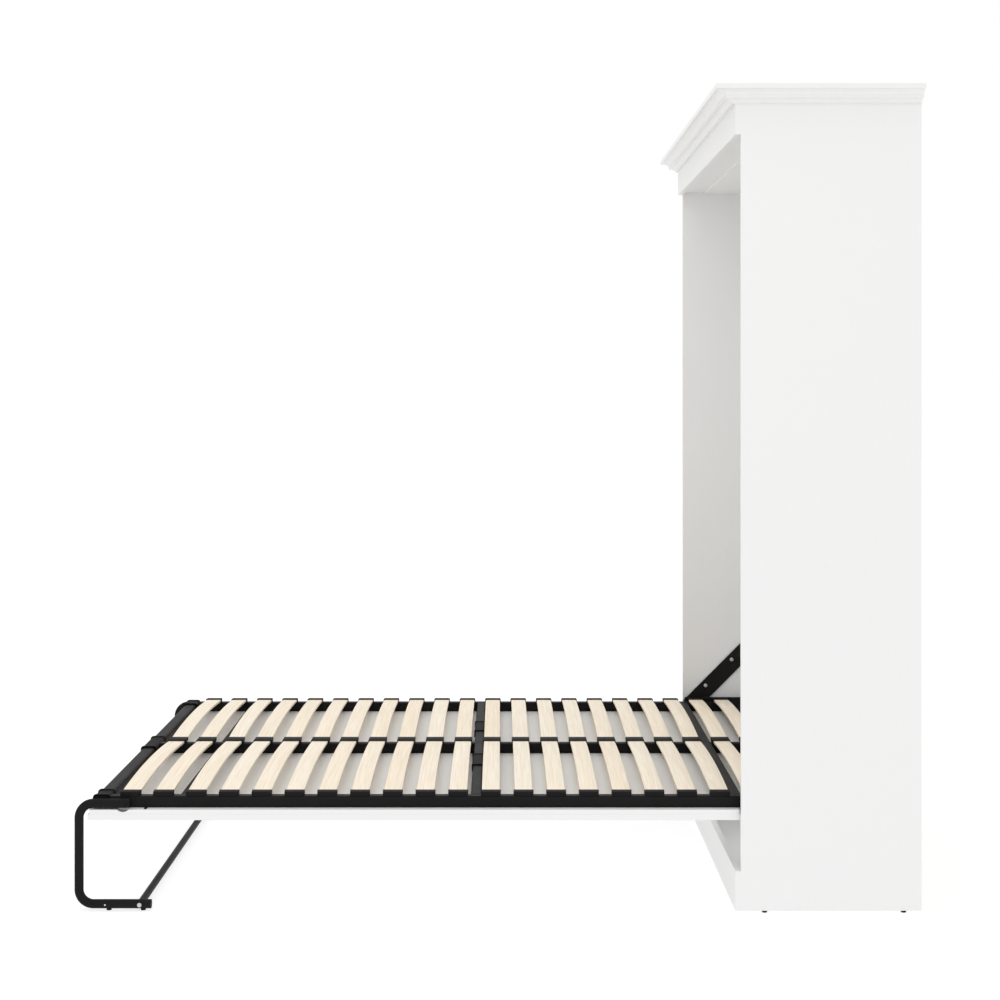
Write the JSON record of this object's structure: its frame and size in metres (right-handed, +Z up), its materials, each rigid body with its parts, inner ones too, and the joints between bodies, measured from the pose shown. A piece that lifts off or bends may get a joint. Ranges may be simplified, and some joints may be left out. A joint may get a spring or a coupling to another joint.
{
  "type": "wall bed",
  "caption": "Fold-down wall bed: a white crowned cabinet whose panel carries a black steel frame of bowed slats on side pivots with gas springs and a bent-tube folding leg.",
  "frame": {"origin": "middle of the whole footprint with the bed lowered, on the floor", "axes": "+X across the bed, +Y from the foot towards the wall, +Z up"},
  "size_m": [1.736, 2.332, 2.268],
  "materials": {
    "white_board": "satin white melamine",
    "black_steel": "black powder coat",
    "black_plastic": "fine texture",
    "birch": "clear-sealed veneer plies",
    "zinc_steel": "zinc plated",
    "bright_rod": "hard chromed"
  },
  "bodies": {
    "cabinet": {"side_panel_right": "white_board", "side_panel_left": "white_board", "fascia": "white_board", "base_board": "white_board", "top_panel": "white_board", "top_stretcher": "white_board", "floor_panel": "white_board", "back_panel_lower": "white_board", "back_panel_upper": "white_board", "wall_rail": "white_board", "levelling_glides": "black_plastic", "crown_front": "white_board", "crown_right": "white_board", "crown_left": "white_board", "lift_bracket_right": "black_steel", "lift_bracket_left": "black_steel", "bracket_bolts_right": "zinc_steel", "bracket_bolts_left": "zinc_steel", "pivot_pin_right": "zinc_steel", "pivot_pin_left": "zinc_steel", "spring_anchor_right": "zinc_steel", "spring_anchor_left": "zinc_steel"},
    "bed": {"face_panel": "white_board", "side_rail_right": "black_steel", "side_rail_left": "black_steel", "centre_rail": "black_steel", "foot_rail": "black_steel", "head_rail": "black_steel", "foot_tie": "black_steel", "middle_tie": "black_steel", "head_tie": "black_steel", "tie_sleeves": "black_plastic", "foot_sleeves": "black_plastic", "carrier_panel": "white_board", "slats_right": "birch", "slats_left": "birch", "slat_holders_right": "black_plastic", "slat_holders_left": "black_plastic", "slat_holders_centre": "black_plastic", "pivot_plate_right": "black_steel", "pivot_plate_left": "black_steel", "spring_stud_right": "zinc_steel", "spring_stud_left": "zinc_steel", "leg_pin_right": "black_steel", "leg_pin_left": "black_steel"},
    "leg": {"leg_tube_right": "black_steel", "leg_tube_left": "black_steel", "leg_crossbar": "black_steel", "leg_bolts": "zinc_steel", "leg_plugs": "black_plastic", "leg_glides": "black_plastic"},
    "spring_tube_right": {"spring_tube_right": "black_steel"},
    "spring_tube_left": {"spring_tube_left": "black_steel"},
    "spring_rod_right": {"spring_rod_right": "bright_rod"},
    "spring_rod_left": {"spring_rod_left": "bright_rod"}
  },
  "joints": [
    {"name": "bed_tilt", "type": "hinge", "parent": "cabinet", "child": "bed", "pos_m": [0, 0.6865, 0.281], "axis": [-1, 0, 0], "range_deg": [0, 90]},
    {"name": "leg_swing", "type": "hinge", "parent": "bed", "child": "leg", "pos_m": [0, -1.0315, 0.294], "axis": [-1, 0, 0], "range_deg": [0, 180]},
    {"name": "spring_swing_right", "type": "hinge", "parent": "cabinet", "child": "spring_tube_right", "pos_m": [0.7775, 1.08651, 0.68101], "axis": [-1, 0, 0], "range_deg": [0, 5.3]},
    {"name": "spring_stroke_right", "type": "slide", "parent": "spring_tube_right", "child": "spring_rod_right", "axis": [0, -0.461, -0.8874], "range_m": [0, 0.2795]},
    {"name": "spring_swing_left", "type": "hinge", "parent": "cabinet", "child": "spring_tube_left", "pos_m": [-0.7775, 1.08651, 0.68101], "axis": [-1, 0, 0], "range_deg": [0, 5.3]},
    {"name": "spring_stroke_left", "type": "slide", "parent": "spring_tube_left", "child": "spring_rod_left", "axis": [0, -0.461, -0.8874], "range_m": [0, 0.2795]}
  ],
  "couplings": [
    {"joint": "spring_swing_right", "follows": "bed_tilt", "ratio": 0.058174},
    {"joint": "spring_stroke_right", "follows": "bed_tilt", "m_per_rad": 0.17765},
    {"joint": "spring_swing_left", "follows": "bed_tilt", "ratio": 0.058174},
    {"joint": "spring_stroke_left", "follows": "bed_tilt", "m_per_rad": 0.17765}
  ]
}
